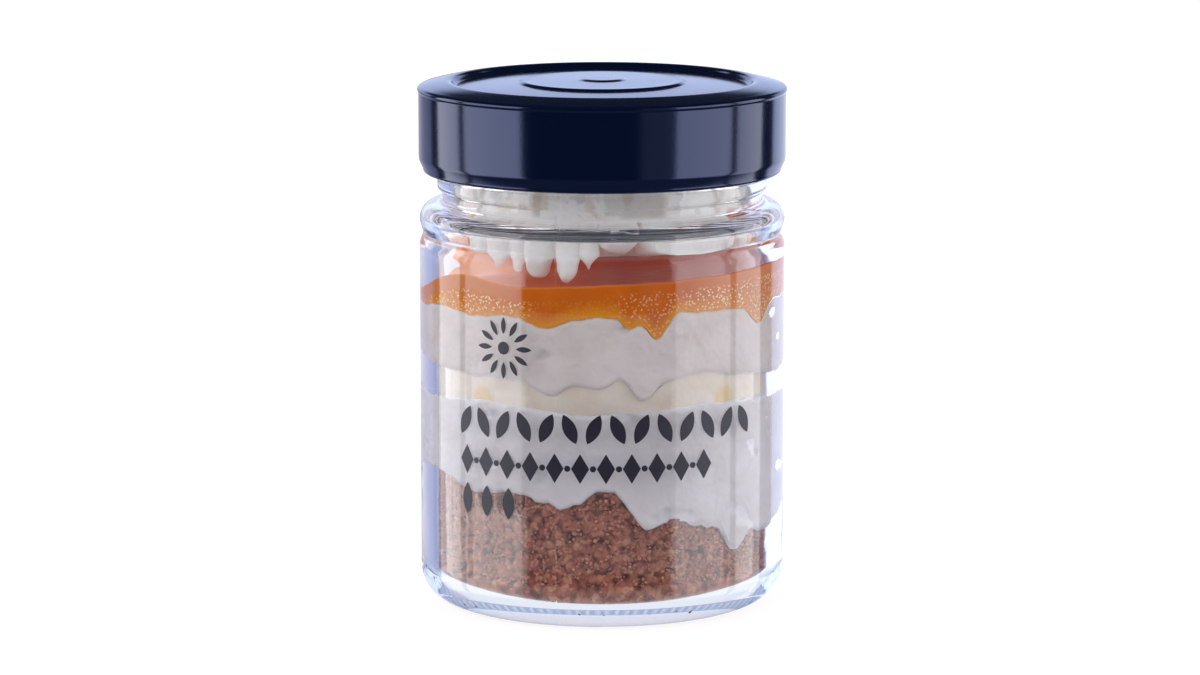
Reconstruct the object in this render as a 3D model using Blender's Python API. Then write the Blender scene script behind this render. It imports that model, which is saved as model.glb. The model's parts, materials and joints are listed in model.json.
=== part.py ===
"""A layered cheesecake in a clear screw-top glass jar.

Lengths are in millimetres until a mesh is finished, and MM turns them into metres.
The jar stands on z = 0 with its axis on the Z axis, and its front faces -Y.
An azimuth is in degrees: 0 is the front, 90 is the right-hand side (+X).
"""

import math

import bmesh
import bpy
from mathutils import Matrix, Vector, noise

MM = 0.001

# Driving dimensions of the glass.
BODY_RADIUS = 37.0
WALL = 3.2
INNER_RADIUS = BODY_RADIUS - WALL
MOUTH_RADIUS = 30.4
FOOT_INNER = 27.0
FOOT_OUTER = 29.6
HEEL_RADIUS = 7.2
FLOOR_HEIGHT = 3.6
FLOOR_CROWN = 1.2
FLOOR_CORNER = 5.0
PUNT = 2.2
SHOULDER_LOW = 75.3
PINCH = 0.7
LEDGE = 78.9
SHOULDER_TOP = 81.6
SHOULDER_ROLL = 3.3
NECK_RADIUS = 32.4
BEAD_RADIUS = 33.4
BEAD_LOW = 84.1
FINISH_RADIUS = 32.7
RIM_TOP = 104.6
RIM_ROLL = 1.15
THREAD_STARTS = 4
THREAD_FIRST = 10.0
THREAD_DEPTH = 1.4
THREAD_LOW = 91.2
THREAD_RISE = 2.4

# Driving dimensions of the lid.
LID_TOP = 106.5
LID_LOW = 87.8
LID_RADIUS = 37.4
SKIRT_RADIUS = 37.15
SHEET = 0.7
CREST_RADIUS = 31.3
CREST_TOP = LID_TOP - 0.3
PANEL_RADIUS = 29.6
PANEL_TOP = LID_TOP - 1.5
PLATEAU_RADIUS = 16.2
PLATEAU_TOP = LID_TOP - 0.55
BUTTON_RADIUS = 3.9
BUTTON_STEP = 0.3
LUGS = 4
LUG_REACH = 1.2
LUG_HALF_WIDTH = 9.0

# Driving dimensions of the clear label round the front of the glass.
LABEL_GAP = 0.15
LABEL_FILM = 0.15
LABEL_LOW = 12.6
LABEL_HIGH = 64.0
LABEL_LEFT = -62.0
LABEL_RIGHT = 66.0

# Free space kept between touching pieces.
GAP = 0.3

# How many flat sides each round piece has.
GLASS_SIDES = 48
LID_SIDES = 48
LAYER_SIDES = 60
DOLLOP_SIDES = 34
LOBE_SIDES = 12

# Where a layer's upper and lower faces have rings, as shares of its radius.
RINGS = [0.0, 0.55, 0.86, 1.0]

# Level of each boundary between layers, at the middle of the jar and at the wall.
# The wall line also leans to one side, and each dip is (azimuth, rise, half width).
CRUMB_TOP = {
    "middle": 24.0,
    "wall": 24.5,
    "lean": -4.5,
    "dips": [
        (-47, -1.5, 8),
        (-15, -1.0, 6),
        (2, 4.3, 8),
        (15, -3.5, 6),
        (36, -2.0, 8),
        (49, -6.5, 6),
        (66, -4.0, 12),
        (112, 3.0, 14),
        (150, -4.0, 10),
        (-100, -3.0, 12),
        (-140, 2.5, 12),
    ],
}
LOWER_CREAM_TOP = {
    "middle": 44.5,
    "wall": 44.2,
    "lean": 0.0,
    "dips": [
        (-40, 1.0, 14),
        (-4, -0.9, 12),
        (38, 0.8, 12),
        (100, -1.5, 14),
        (165, 1.5, 16),
        (-120, -1.2, 18),
    ],
}
BAND_TOP = {
    "middle": 50.0,
    "wall": 49.6,
    "lean": -0.2,
    "dips": [
        (-17.5, -2.6, 6),
        (-1, -1.2, 5),
        (6.5, 1.6, 4),
        (13.5, -3.4, 5),
        (34, 1.6, 10),
        (75, -1.5, 12),
        (120, 2.0, 12),
        (168, -2.4, 10),
        (-90, 1.6, 14),
        (-135, -2.2, 10),
    ],
}
UPPER_CREAM_TOP = {
    "middle": 63.0,
    "wall": 63.2,
    "lean": 0.2,
    "dips": [
        (-48, -1.0, 12),
        (-19, -2.3, 8),
        (8.8, -2.4, 3),
        (17.8, -4.4, 4.5),
        (27, 0.7, 4),
        (61, -4.0, 6),
        (104, 1.2, 10),
        (140, -3.6, 7),
        (-80, -1.6, 9),
        (-118, 1.2, 10),
        (-155, -3.0, 8),
    ],
}
CURD_TOP = {
    "middle": 69.2,
    "wall": 69.6,
    "lean": 1.1,
    "dips": [(-28, -0.6, 12), (-52, 1.3, 15), (-92, -4.6, 22), (66, 0.4, 14)],
}
WALL_CLIMB = 3.0

# Crumbs are up to this high, and their lumps are about this wide.
GRAIN = 1.2
GRAIN_WIDTH = 1.8

# Piped dollops of whipped cream: middle, foot level, largest radius, peak level, lean.
# The last one is the cream that is pressed into the neck.
DOLLOPS = {
    "front_left": {"at": (-9.5, 4.0), "low": 71.0, "radius": 13.5, "peak": 97.0, "lean": (0, 1)},
    "back_left": {"at": (-9.0, 14.0), "low": 66.0, "radius": 16.5, "peak": 96.5, "lean": (0, -2)},
    "back_right": {"at": (16.0, 16.5), "low": 66.0, "radius": 17.0, "peak": 97.2, "lean": (-1, -2)},
    "back": {"at": (4.0, 20.0), "low": 66.0, "radius": 14.0, "peak": 95.5, "lean": (0, -2)},
    "neck": {"at": (0.0, 0.0), "low": 80.5, "radius": 34.0, "peak": 104.0, "lean": (0, 0)},
}
RIDGES = 12
RIDGE_DEPTH = 0.14
RIDGE_TWIST = 14.0
CREAM_CEILING = 97.8
CREAM_CLEARANCE = 0.6

# Lobes of cream that hang down the glass: tip across and along, foot level and radius.
LOBES = [
    (-23.0, -20.6, 73.0, 2.7),
    (-19.4, -24.2, 71.6, 3.0),
    (-16.2, -26.6, 71.3, 1.8),
    (-12.1, -28.2, 70.5, 3.1),
    (-6.8, -30.0, 70.2, 2.3),
    (-2.7, -30.4, 72.2, 2.0),
    (3.0, -29.5, 76.3, 4.0),
    (16.0, -24.5, 74.2, 9.5),
]
LOBE_PEAK = 88.0
LOBE_LEAN = -0.17

# Width and height of a piped shape at each stage, as shares of the whole.
DOLLOP_STAGES = [
    (0.0, 0.0),
    (0.72, 0.06),
    (0.80, 0.16),
    (0.88, 0.30),
    (1.00, 0.55),
    (0.92, 0.75),
    (0.66, 0.88),
    (0.28, 0.97),
    (0.0, 1.0),
]
LOBE_STAGES = [(0.0, 0.0), (0.6, 0.04), (1.0, 0.22), (1.0, 0.8), (0.0, 1.0)]

# Colour, roughness, metallic value and how much light passes.
FINISHES = {
    "clear_glass": ((0.93, 0.96, 0.98), 0.03, 0.0, 0.95),
    "navy_lacquer": ((0.008, 0.014, 0.035), 0.22, 0.0, 0.0),
    "clear_film": ((0.9, 0.9, 0.92), 0.15, 0.0, 0.9),
    "biscuit_crumb": ((0.30, 0.15, 0.09), 0.9, 0.0, 0.0),
    "white_cream": ((0.86, 0.82, 0.76), 0.5, 0.0, 0.0),
    "cheesecake": ((0.78, 0.66, 0.47), 0.5, 0.0, 0.0),
    "fruit_curd": ((0.62, 0.20, 0.02), 0.2, 0.0, 0.0),
}
SHARP_ANGLE = math.radians(40)


def finish(name):
    """The material of that name, made on its first use."""
    found = bpy.data.materials.get(name)
    if found:
        return found
    colour, roughness, metallic, clear = FINISHES[name]
    made = bpy.data.materials.new(name)
    made.use_nodes = True
    shader = made.node_tree.nodes["Principled BSDF"]
    shader.inputs["Base Color"].default_value = (*colour, 1.0)
    shader.inputs["Roughness"].default_value = roughness
    shader.inputs["Metallic"].default_value = metallic
    shader.inputs["Transmission Weight"].default_value = clear
    return made


def arc(centre, radius, start, end, steps):
    """Points of a circle's arc in the (radius, height) plane, from one angle to another."""
    points = []
    for i in range(steps + 1):
        angle = math.radians(start + (end - start) * i / steps)
        points.append(
            (centre[0] + radius * math.cos(angle), centre[1] + radius * math.sin(angle))
        )
    return points


def azimuth_of(point):
    return math.degrees(math.atan2(point.x, -point.y))


def at_azimuth(azimuth, radius, height):
    angle = math.radians(azimuth)
    return Vector((radius * math.sin(angle), -radius * math.cos(angle), height))


def swing(azimuth, centre):
    """Degrees from centre to azimuth, the short way round."""
    return (azimuth - centre + 180.0) % 360.0 - 180.0


def piece(name, mesh, material):
    """Turns a finished mesh in millimetres into a named object in metres."""
    bmesh.ops.recalc_face_normals(mesh, faces=mesh.faces)
    bmesh.ops.transform(mesh, matrix=Matrix.Scale(MM, 4), verts=mesh.verts)
    data = bpy.data.meshes.new(name)
    mesh.to_mesh(data)
    mesh.free()
    data.materials.append(finish(material))
    data.shade_smooth()
    data.set_sharp_from_angle(angle=SHARP_ANGLE)
    made = bpy.data.objects.new(name, data)
    bpy.context.scene.collection.objects.link(made)
    return made


def split_alike(mesh):
    """Cuts each four-sided face along the same diagonal, so that stacked layers fit."""
    for face in list(mesh.faces):
        if len(face.verts) != 4:
            continue
        middle = azimuth_of(face.calc_center_median())
        reach = {v: (round(math.hypot(v.co.x, v.co.y), 4), v.co.z) for v in face.verts}
        early = [v for v in face.verts if swing(azimuth_of(v.co), middle) < 0.0]
        late = [v for v in face.verts if v not in early]
        bmesh.utils.face_split(face, min(early, key=reach.get), max(late, key=reach.get))


def turned(name, outline, sides, material, warp=None):
    """A solid made by spinning an outline, in (radius, height), round the Z axis.

    The outline starts and ends on the axis. warp moves each point afterwards.
    """
    mesh = bmesh.new()
    corners = [mesh.verts.new((radius, 0.0, height)) for radius, height in outline]
    edges = [mesh.edges.new(pair) for pair in zip(corners, corners[1:])]
    bmesh.ops.spin(
        mesh,
        geom=corners + edges,
        cent=(0, 0, 0),
        axis=(0, 0, 1),
        angle=math.tau,
        steps=sides,
        use_merge=True,
    )
    bmesh.ops.remove_doubles(mesh, verts=mesh.verts, dist=1e-4)
    split_alike(mesh)
    if warp:
        for vertex in mesh.verts:
            vertex.co = warp(vertex.co.copy())
    return piece(name, mesh, material)


def glass_outside():
    """Outline of the glass from the middle of its underside up to the rim."""
    heel_middle = (BODY_RADIUS - HEEL_RADIUS, HEEL_RADIUS)
    roll_middle = (BODY_RADIUS - SHOULDER_ROLL, SHOULDER_TOP - SHOULDER_ROLL)
    return [
        (0.0, PUNT),
        (FOOT_INNER, 0.0),
        (FOOT_OUTER, 0.0),
        *arc(heel_middle, HEEL_RADIUS, -72, 0, 3),
        (BODY_RADIUS, SHOULDER_LOW - 1.6),
        (BODY_RADIUS - PINCH, SHOULDER_LOW),
        *arc(roll_middle, SHOULDER_ROLL, -20, 95, 4),
        (NECK_RADIUS, BEAD_LOW - 0.2),
        (BEAD_RADIUS, BEAD_LOW + 0.6),
        (BEAD_RADIUS, BEAD_LOW + 3.2),
        (FINISH_RADIUS, BEAD_LOW + 4.6),
        (FINISH_RADIUS, THREAD_LOW - 1.0),
        (FINISH_RADIUS + THREAD_DEPTH, THREAD_LOW),
        (FINISH_RADIUS, THREAD_LOW + 1.1),
        *arc((FINISH_RADIUS - RIM_ROLL, RIM_TOP - RIM_ROLL), RIM_ROLL, 0, 180, 4),
    ]


def glass_inside():
    """Outline of the inside wall, from the mouth down to the middle of the floor."""
    corner_middle = (INNER_RADIUS - FLOOR_CORNER, FLOOR_HEIGHT + FLOOR_CORNER)
    return [
        (MOUTH_RADIUS, LEDGE + 1.9),
        (MOUTH_RADIUS + 0.5, LEDGE + 0.45),
        (INNER_RADIUS - 0.35, LEDGE - 0.8),
        (INNER_RADIUS, LEDGE - 2.2),
        *arc(corner_middle, FLOOR_CORNER, 0, -90, 3),
        (0.0, FLOOR_HEIGHT + FLOOR_CROWN),
    ]


def inside_radius(height):
    """Radius of the inside wall at a height above the floor's corner."""
    wall = [p for p in glass_inside() if p[1] > FLOOR_HEIGHT + FLOOR_CORNER - 0.01]
    if height >= wall[0][1]:
        return MOUTH_RADIUS
    for upper, lower in zip(wall, wall[1:]):
        if lower[1] <= height <= upper[1]:
            share = (height - lower[1]) / (upper[1] - lower[1])
            return lower[0] + share * (upper[0] - lower[0])
    return INNER_RADIUS


def floor_level(radius):
    """Height of the glass floor's upper face at that radius."""
    corner_start = INNER_RADIUS - FLOOR_CORNER
    if radius <= corner_start:
        return FLOOR_HEIGHT + FLOOR_CROWN * (1.0 - radius / corner_start)
    past = min(radius - corner_start, FLOOR_CORNER)
    return FLOOR_HEIGHT + FLOOR_CORNER - math.sqrt(FLOOR_CORNER**2 - past**2)


def thread_warp(point):
    """Turns the ring on the finish into short slanting threads that fade at both ends."""
    radius = math.hypot(point.x, point.y)
    near_thread = abs(point.z - THREAD_LOW) < 1.2 and radius > FINISH_RADIUS - 0.1
    if not near_thread:
        return point
    turns = (azimuth_of(point) - THREAD_FIRST) / 360.0
    share = (turns * THREAD_STARTS) % 1.0
    height = point.z + THREAD_RISE * share
    fade = min(1.0, 6.0 * min(share, 1.0 - share))
    radius = FINISH_RADIUS + (radius - FINISH_RADIUS) * fade
    return at_azimuth(azimuth_of(point), radius, height)


def lid_outside():
    """Outline of the lid's outer face, from the middle of its top to the curled edge."""
    return [
        (0.0, LID_TOP),
        (BUTTON_RADIUS, LID_TOP),
        (BUTTON_RADIUS + 1.2, LID_TOP - BUTTON_STEP),
        (PLATEAU_RADIUS, PLATEAU_TOP),
        (PLATEAU_RADIUS + 1.0, PLATEAU_TOP - 0.45),
        (PANEL_RADIUS, PANEL_TOP),
        (CREST_RADIUS, CREST_TOP),
        (LID_RADIUS - 1.4, CREST_TOP - 0.9),
        (LID_RADIUS - 0.3, CREST_TOP - 1.3),
        (LID_RADIUS, CREST_TOP - 2.0),
        (SKIRT_RADIUS, CREST_TOP - 2.9),
        (SKIRT_RADIUS, LID_LOW + 2.2),
        (SKIRT_RADIUS - 0.6, LID_LOW + 0.7),
        (SKIRT_RADIUS - 1.2, LID_LOW),
    ]


def lid_inside():
    """Outline of the lid's inner face, from the curled edge back to the middle."""
    plateau = PLATEAU_TOP - SHEET
    return [
        (SKIRT_RADIUS - 1.7, LID_LOW + 0.8),
        (SKIRT_RADIUS - SHEET, LID_LOW + 2.2),
        (SKIRT_RADIUS - SHEET, LID_TOP - 3.2),
        (SKIRT_RADIUS - SHEET - 0.8, RIM_TOP + GAP),
        (PANEL_RADIUS + 0.9, RIM_TOP + GAP),
        (PANEL_RADIUS - 0.2, PANEL_TOP - SHEET),
        (PLATEAU_RADIUS + 0.4, PANEL_TOP - SHEET),
        (PLATEAU_RADIUS - 0.8, plateau),
        (0.0, plateau),
    ]


def lug_warp(point):
    """Pushes the curled edge inwards at each lug that grips a thread."""
    radius = math.hypot(point.x, point.y)
    if point.z > LID_LOW + 1.3 or radius > SKIRT_RADIUS - 1.5:
        return point
    azimuth = azimuth_of(point)
    nearest = round(azimuth / (360.0 / LUGS)) * 360.0 / LUGS
    share = max(0.0, 1.0 - (swing(azimuth, nearest) / LUG_HALF_WIDTH) ** 2)
    return at_azimuth(azimuth, radius - LUG_REACH * share, point.z)


def clear_label():
    """A thin clear film that follows the glass round the front."""
    inner = BODY_RADIUS + LABEL_GAP
    outer = inner + LABEL_FILM
    mesh = bmesh.new()
    corners = [
        mesh.verts.new(at_azimuth(LABEL_LEFT, radius, height))
        for radius, height in (
            (inner, LABEL_LOW),
            (outer, LABEL_LOW),
            (outer, LABEL_HIGH),
            (inner, LABEL_HIGH),
        )
    ]
    start = mesh.faces.new(corners)
    turn = LABEL_RIGHT - LABEL_LEFT
    bmesh.ops.spin(
        mesh,
        geom=[start],
        cent=(0, 0, 0),
        axis=(0, 0, 1),
        angle=math.radians(turn),
        steps=round(turn * LAYER_SIDES / 360.0),
    )
    piece("clear_label", mesh, "clear_film")


def boundary(level, azimuth, share):
    """Height of a layer boundary. share is 0 at the middle of the jar and 1 at the wall."""
    wall = level["wall"] + level["lean"] * math.sin(math.radians(azimuth))
    for centre, rise, width in level["dips"]:
        wall += rise * math.exp(-((swing(azimuth, centre) / width) ** 2))
    return level["middle"] + (wall - level["middle"]) * share**WALL_CLIMB


def filling(name, material, lower, upper, bottom_rings=RINGS, side_steps=(), grain=0.0):
    """One layer of the filling. lower and upper give a face's height from azimuth and share.

    The outline holds shares: of the radius across, and of the layer's thickness upwards.
    """
    outline = [(share, 0.0) for share in bottom_rings]
    outline += [(1.0, step) for step in side_steps]
    outline += [(share, 1.0) for share in reversed(RINGS)]

    def place(point):
        share = min(1.0, math.hypot(point.x, point.y))
        azimuth = azimuth_of(point) if share > 1e-4 else 0.0
        low = lower(azimuth, share)
        height = low + (upper(azimuth, share) - low) * point.z
        reach = inside_radius(height) - GAP
        placed = at_azimuth(azimuth, reach * share, height)
        if grain and point.z > 0.02:
            placed = roughened(placed, share, grain)
        return placed

    return turned(name, outline, LAYER_SIDES, material, place)


def on_top_of(level):
    """The lower face of what lies on a boundary, with the gap between them."""
    return lambda azimuth, share: boundary(level, azimuth, share) + GAP


def up_to(level):
    return lambda azimuth, share: boundary(level, azimuth, share)


def on_the_floor(azimuth, share):
    return floor_level((INNER_RADIUS - GAP) * share + GAP) + GAP


def roughened(point, share, grain):
    """Pushes a point of the crumb inwards and down by up to one grain."""
    lump = noise.noise(point / GRAIN_WIDTH) * 0.5 + 0.5
    inwards = grain * lump * share**6
    radius = math.hypot(point.x, point.y)
    return at_azimuth(azimuth_of(point), radius - inwards, point.z - grain * 0.6 * lump)


def piped(name, shape, middle, stages, sides, ridge_depth, turn):
    """One shape from a star nozzle: its outline spun, ridged, twisted and leaned over."""
    low, peak, radius = shape["low"], shape["peak"], shape["radius"]
    outline = [(radius * width, low + (peak - low) * rise) for width, rise in stages]

    def place(point):
        around = math.degrees(math.atan2(point.y, point.x))
        rise = (point.z - low) / (peak - low)
        phase = math.radians(RIDGES * (around + turn + RIDGE_TWIST * rise))
        ridge = 1.0 + ridge_depth * (abs(math.cos(phase / 2.0)) - 0.6)
        across = middle[0] + shape["lean"][0] * rise**2
        along = middle[1] + shape["lean"][1] * rise**2
        return Vector((across + point.x * ridge, along + point.y * ridge, point.z))

    return turned(name, outline, sides, "white_cream", place)


def use_boolean(target, operation, other):
    """Joins or trims target with an object or a collection, which is then removed."""
    step = target.modifiers.new(operation.lower(), "BOOLEAN")
    step.operation = operation
    if isinstance(other, bpy.types.Collection):
        step.operand_type = "COLLECTION"
        step.collection = other
        step.solver = "MANIFOLD"
        used = list(other.objects)
    else:
        step.object = other
        used = [other]
    bpy.context.view_layer.objects.active = target
    bpy.ops.object.modifier_apply(modifier=step.name)
    for thing in used:
        bpy.data.objects.remove(thing)


def keep_outer_shell(data):
    """Fills the pockets shut in between joined shapes, by dropping all but one shell."""
    mesh = bmesh.new()
    mesh.from_mesh(data)
    unseen = set(mesh.verts)
    shells = []
    while unseen:
        shell = [unseen.pop()]
        for vertex in shell:
            for edge in vertex.link_edges:
                other = edge.other_vert(vertex)
                if other in unseen:
                    unseen.remove(other)
                    shell.append(other)
        shells.append(shell)
    shells.sort(key=len)
    for shell in shells[:-1]:
        bmesh.ops.delete(mesh, geom=shell, context="VERTS")
    mesh.to_mesh(data)
    mesh.free()


def headspace():
    """The space over the curd, clear of the curd and of the glass all the way up."""
    reach = INNER_RADIUS - CREAM_CLEARANCE
    foot = [(share * reach, 0.0) for share in RINGS]
    wall = [
        (radius - CREAM_CLEARANCE, height - CREAM_CLEARANCE * 0.6)
        for radius, height in reversed(glass_inside()[:4])
    ]
    ceiling = [(MOUTH_RADIUS - CREAM_CLEARANCE, CREAM_CEILING), (0.0, CREAM_CEILING)]

    def place(point):
        if point.z > 0.0:
            return point
        share = math.hypot(point.x, point.y) / reach
        azimuth = azimuth_of(point) if share > 1e-4 else 0.0
        return Vector((point.x, point.y, boundary(CURD_TOP, azimuth, share) + GAP))

    return turned("headspace", foot + wall + ceiling, LAYER_SIDES, "white_cream", place)


def whipped_cream():
    """Soft piped dollops run together, pressed flat where they meet glass and curd."""
    scene = bpy.context.scene.collection
    rest = bpy.data.collections.new("dollops")
    scene.children.link(rest)
    shapes = []
    for number, (name, shape) in enumerate(DOLLOPS.items()):
        turn = 17.0 * number
        shapes.append(
            piped(name, shape, shape["at"], DOLLOP_STAGES, DOLLOP_SIDES, RIDGE_DEPTH, turn)
        )
    for across, along, low, radius in LOBES:
        lean = (across * LOBE_LEAN, along * LOBE_LEAN)
        shape = {"low": low, "radius": radius, "peak": LOBE_PEAK, "lean": lean}
        shapes.append(piped("lobe", shape, (across, along), LOBE_STAGES, LOBE_SIDES, 0.0, 0.0))
    cream = shapes[0]
    cream.name = "whipped_cream"
    for shape in shapes[1:]:
        scene.objects.unlink(shape)
        rest.objects.link(shape)
    use_boolean(cream, "UNION", rest)
    bpy.data.collections.remove(rest)
    use_boolean(cream, "INTERSECT", headspace())
    keep_outer_shell(cream.data)


def build():
    for old in list(bpy.data.objects):
        bpy.data.objects.remove(old)
    turned("glass_jar", glass_outside() + glass_inside(), GLASS_SIDES, "clear_glass", thread_warp)
    turned("screw_lid", lid_outside() + lid_inside(), LID_SIDES, "navy_lacquer", lug_warp)
    clear_label()
    filling(
        "biscuit_crumb",
        "biscuit_crumb",
        on_the_floor,
        up_to(CRUMB_TOP),
        bottom_rings=(0.0, 0.85, 0.93, 0.98, 1.0),
        side_steps=(0.3, 0.6),
        grain=GRAIN,
    )
    filling("lower_cream", "white_cream", on_top_of(CRUMB_TOP), up_to(LOWER_CREAM_TOP))
    filling("cheesecake_band", "cheesecake", on_top_of(LOWER_CREAM_TOP), up_to(BAND_TOP))
    filling("upper_cream", "white_cream", on_top_of(BAND_TOP), up_to(UPPER_CREAM_TOP))
    filling("fruit_curd", "fruit_curd", on_top_of(UPPER_CREAM_TOP), up_to(CURD_TOP))
    whipped_cream()


build()
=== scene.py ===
"""The looks of a layered cheesecake in a clear screw-top jar.

Lengths are in millimetres until a mesh is finished. MM turns them into metres, and M
turns metres into millimetres. An azimuth is in degrees: 0 is the front (-Y), and 90
is the right-hand side (+X).
"""

import json
import math
import random

import bmesh
import bpy
from mathutils import Matrix, Vector, noise

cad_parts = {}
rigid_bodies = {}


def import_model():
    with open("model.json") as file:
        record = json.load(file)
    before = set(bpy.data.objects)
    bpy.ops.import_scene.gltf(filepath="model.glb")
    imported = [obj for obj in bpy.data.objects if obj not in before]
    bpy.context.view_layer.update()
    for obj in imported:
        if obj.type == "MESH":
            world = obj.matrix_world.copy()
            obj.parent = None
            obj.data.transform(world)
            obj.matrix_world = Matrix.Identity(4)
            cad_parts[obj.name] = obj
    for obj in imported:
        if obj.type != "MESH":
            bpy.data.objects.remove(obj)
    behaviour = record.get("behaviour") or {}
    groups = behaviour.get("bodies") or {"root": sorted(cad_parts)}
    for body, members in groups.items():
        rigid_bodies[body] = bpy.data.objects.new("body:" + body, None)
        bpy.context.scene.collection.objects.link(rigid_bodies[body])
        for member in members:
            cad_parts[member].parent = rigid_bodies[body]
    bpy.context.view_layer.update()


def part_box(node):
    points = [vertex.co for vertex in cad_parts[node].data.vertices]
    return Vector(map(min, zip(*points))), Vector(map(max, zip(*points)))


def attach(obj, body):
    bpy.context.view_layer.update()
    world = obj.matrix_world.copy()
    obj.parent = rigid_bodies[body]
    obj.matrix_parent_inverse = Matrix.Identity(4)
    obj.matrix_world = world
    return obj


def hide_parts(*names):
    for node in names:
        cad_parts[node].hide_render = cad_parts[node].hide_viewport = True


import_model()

# Without a seed of its own, noise_vector follows the clock.
noise.seed_set(1)

MM = 0.001
M = 1000.0

# Sizes read from the frame.
BODY_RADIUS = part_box("glass_jar")[1].y * M
RIM_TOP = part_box("glass_jar")[1].z * M
LID_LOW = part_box("screw_lid")[0].z * M
LID_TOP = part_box("screw_lid")[1].z * M
LID_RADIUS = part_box("screw_lid")[1].y * M
LABEL_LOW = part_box("clear_label")[0].z * M
LABEL_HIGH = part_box("clear_label")[1].z * M

# The glass.
WALL = 3.2
INNER_RADIUS = BODY_RADIUS - WALL
MOUTH_RADIUS = 30.4
FOOT_INNER = 27.0
FOOT_OUTER = 29.6
HEEL_RADIUS = 7.2
FLOOR_HEIGHT = 3.6
FLOOR_CROWN = 1.2
FLOOR_CORNER = 5.0
PUNT = 2.2
STIPPLE_TOP = FLOOR_HEIGHT - 0.8
STIPPLE_RADIUS = FOOT_OUTER + 0.8
SHOULDER_LOW = 75.3
SHOULDER_TOP = 81.6
SHOULDER_ROLL = 3.3
NECK_RADIUS = 32.4
BEAD_RADIUS = 33.4
BEAD_LOW = 84.1
BEAD_HIGH = 87.3
FINISH_RADIUS = 32.7
RIM_ROLL = 1.15
THREAD_STARTS = 4
THREAD_FIRST = 10.0
THREAD_DEPTH = 1.4
THREAD_LOW = 91.2
THREAD_RISE = 2.4
GLASS_SIDES = 256
KNURLS = 96
KNURL_DEPTH = 0.35
LEDGE = 78.9
PINCH = 0.7
SEAM = -15.0

# The lid. A drop is measured down from its top.
SKIRT_RADIUS = 37.15
SHEET = 0.7
PANEL_DROP = 1.5
PANEL_RADIUS = 29.6
CREST_RADIUS = 31.3
CREST_DROP = 0.28
PLATEAU_RADIUS = 16.2
PLATEAU_DROP = 0.42
BUTTON_RADIUS = 3.9
LUGS = 4
LUG_REACH = 1.2
LUG_HALF_WIDTH = 9.0
LID_SIDES = 256
GAP = 0.3

# The label and its print. Its sides, PRINT_LEFT and ROSETTE_AZIMUTH are azimuths.
LABEL_GAP = 0.15
LABEL_FILM = 0.15
LABEL_LEFT = -62.0
LABEL_RIGHT = 66.0
LABEL_STEPS = 96
CUT_EDGE_AREA = 10.0
INK_THICKNESS = 0.03
PRINT_LEFT = -49.0
LEAVES = 14
LEAF_SIZE = (2.7, 6.4)
LEAF_TILT = 24
LEAF_LEVEL = 41.2
LOZENGES = 11
LOZENGE_SIZE = (3.6, 6.0)
LOZENGE_LEVEL = 33.3
SEED_RADIUS = 0.62
LOW_LEAVES = 3
LOW_LEAF_LEVEL = 25.4
PETALS = 12
PETAL_SIZE = (1.1, 3.4)
ROSETTE_AZIMUTH = -31.5
ROSETTE_LEVEL = 56.6
ROSETTE_RADIUS = 4.5

# How far a moist filling reaches into the wall, and how far the dry crumb and the
# piped cream stay off it.
WALL_BITE = 0.15
CRUMB_SHY = 0.1
NECK_SHY = 0.2

# Level of each boundary between layers, at the middle of the jar and at the wall.
# The wall line also leans to one side, and each dip is (azimuth, rise, half width).
# Small uneven waves, about as high as its ragged value, run along it.
CRUMB_TOP = {
    "middle": 24.0,
    "wall": 24.5,
    "lean": -4.5,
    "dips": [
        (-47, -1.5, 8), (-15, -1.0, 6), (2, 4.3, 8), (15, -3.5, 6), (36, -2.0, 8),
        (49, -6.5, 6), (66, -4.0, 12), (112, 3.0, 14), (150, -4.0, 10), (-100, -3.0, 12),
        (-140, 2.5, 12),
    ],
    "ragged": 0.7,
}
LOWER_CREAM_TOP = {
    "middle": 44.5,
    "wall": 44.2,
    "lean": 0.0,
    "dips": [
        (-40, 1.0, 14), (-4, -0.9, 12), (38, 0.8, 12), (100, -1.5, 14), (165, 1.5, 16),
        (-120, -1.2, 18),
    ],
    "ragged": 0.5,
}
BAND_TOP = {
    "middle": 50.0,
    "wall": 49.6,
    "lean": -0.2,
    "dips": [
        (-17.5, -2.6, 6), (-1, -1.2, 5), (6.5, 1.6, 4), (13.5, -3.4, 5), (34, 1.6, 10),
        (75, -1.5, 12), (120, 2.0, 12), (168, -2.4, 10), (-90, 1.6, 14), (-135, -2.2, 10),
    ],
    "ragged": 0.35,
}
UPPER_CREAM_TOP = {
    "middle": 63.0,
    "wall": 63.2,
    "lean": 0.2,
    "dips": [
        (-48, -1.0, 12), (-19, -2.3, 8), (8.8, -2.4, 3), (17.8, -4.4, 4.5), (27, 0.7, 4),
        (61, -4.0, 6), (104, 1.2, 10), (140, -3.6, 7), (-80, -1.6, 9), (-118, 1.2, 10),
        (-155, -3.0, 8),
    ],
    "ragged": 0.35,
}
CURD_TOP = {
    "middle": 69.2,
    "wall": 69.6,
    "lean": 1.1,
    "dips": [(-28, -0.6, 12), (-52, 1.3, 15), (-92, -4.6, 22), (66, 0.4, 14)],
    "ragged": 0.1,
}
WALL_CLIMB = 3.0
MENISCUS = 0.5

# Azimuth and height of the yolk-yellow places in the cheesecake.
YOLK_SPOTS = [(-43.0, 45.2), (44.5, 45.6)]

# Loose grains of biscuit.
GRAIN_BATCHES = 42
BATCH_SIZE = 235
GRAIN_SEED = 5

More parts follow.
